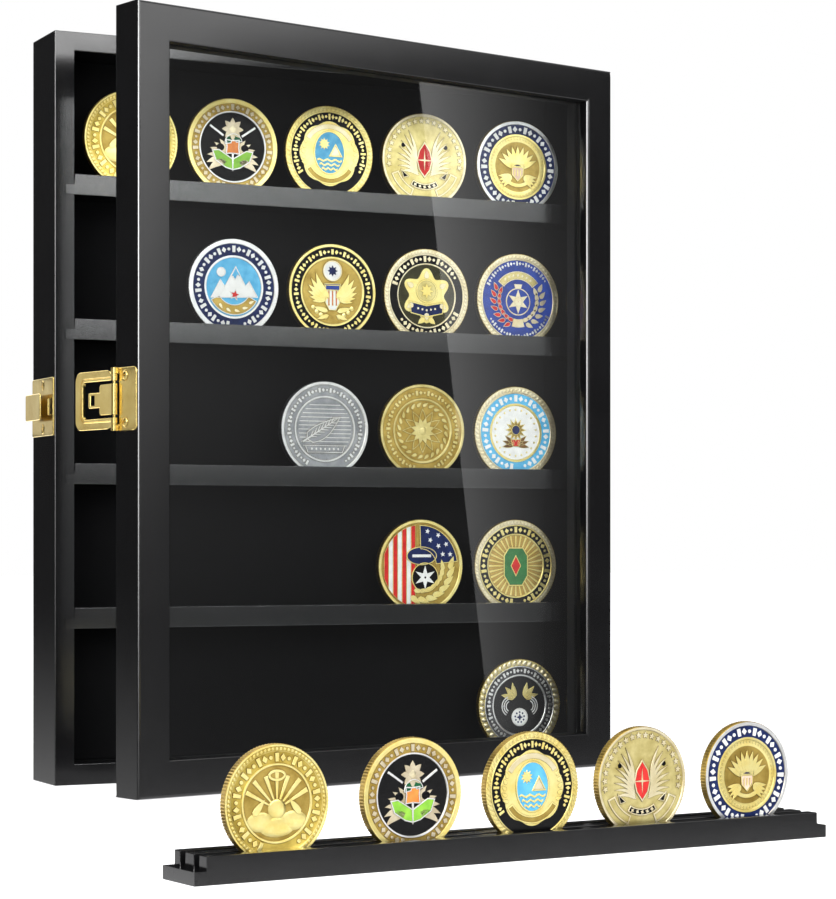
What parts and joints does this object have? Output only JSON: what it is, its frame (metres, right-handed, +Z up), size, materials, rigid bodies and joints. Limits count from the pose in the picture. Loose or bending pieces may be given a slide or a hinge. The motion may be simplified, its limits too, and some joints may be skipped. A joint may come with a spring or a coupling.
{
  "type": "coin display case",
  "caption": "Black wooden coin display case with grooved removable ledges, a hinged glazed door with a brass hasp latch, and coins standing in rows",
  "frame": {"origin": "Centre of the case's underside, midway between its sides and between its front and rear edges", "axes": "+X to the right when facing the door, +Y towards the wall behind the case, +Z up"},
  "size_m": [0.3612, 0.3973, 0.356],
  "materials": {
    "black_wood": "satin black lacquer",
    "black_felt": "short black felt",
    "clear_pane": "clear polished",
    "polished_brass": "polished",
    "plated_steel": "zinc plated",
    "gold_coin": "polished relief with coloured enamel",
    "silver_coin": "polished relief with coloured enamel"
  },
  "bodies": {
    "case": {"left_side": "black_wood", "right_side": "black_wood", "top_board": "black_wood", "bottom_board": "black_wood", "back_board": "black_wood", "lining_panel": "black_felt", "ledge_1": "black_wood", "ledge_2": "black_wood", "ledge_3": "black_wood", "ledge_4": "black_wood", "free_ledge": "black_wood", "upper_case_leaf": "polished_brass", "lower_case_leaf": "polished_brass", "upper_hinge_pin": "polished_brass", "lower_hinge_pin": "polished_brass", "case_leaf_screws": "polished_brass", "keeper": "polished_brass", "keeper_screws": "polished_brass", "wall_hangers": "plated_steel", "hanger_nails": "plated_steel", "coin_row1_1": "gold_coin", "coin_row1_2": "gold_coin", "coin_row1_3": "gold_coin", "coin_row1_4": "gold_coin", "coin_row1_5": "gold_coin", "coin_row2_2": "gold_coin", "coin_row2_3": "gold_coin", "coin_row2_4": "gold_coin", "coin_row2_5": "gold_coin", "coin_row3_3": "silver_coin", "coin_row3_4": "gold_coin", "coin_row3_5": "gold_coin", "coin_row4_4": "gold_coin", "coin_row4_5": "gold_coin", "coin_row5_5": "gold_coin", "free_coin_1": "gold_coin", "free_coin_2": "gold_coin", "free_coin_3": "gold_coin", "free_coin_4": "gold_coin", "free_coin_5": "silver_coin"},
    "door": {"left_stile": "black_wood", "right_stile": "black_wood", "top_rail": "black_wood", "bottom_rail": "black_wood", "pane": "clear_pane", "left_bead": "black_wood", "right_bead": "black_wood", "top_bead": "black_wood", "bottom_bead": "black_wood", "upper_door_leaf": "polished_brass", "lower_door_leaf": "polished_brass", "door_leaf_screws": "polished_brass", "latch_base": "polished_brass", "latch_pin": "polished_brass", "latch_base_screws": "polished_brass"},
    "hasp_ring": {"hasp_ring": "polished_brass"},
    "hasp_tongue": {"hasp_tongue": "polished_brass"}
  },
  "joints": [
    {"name": "door_hinge", "type": "hinge", "parent": "case", "child": "door", "pos_m": [0.1451, -0.01715, 0.178], "axis": [0, 0, 1], "range_deg": [-12.9, 167.1]},
    {"name": "hasp_ring_pivot", "type": "hinge", "parent": "door", "child": "hasp_ring", "pos_m": [-0.13694, -0.08467, 0.179], "axis": [0, 0, 1], "range_deg": [0, 170]},
    {"name": "hasp_tongue_pivot", "type": "hinge", "parent": "door", "child": "hasp_tongue", "pos_m": [-0.13694, -0.08467, 0.179], "axis": [0, 0, 1], "range_deg": [0, 170]}
  ]
}
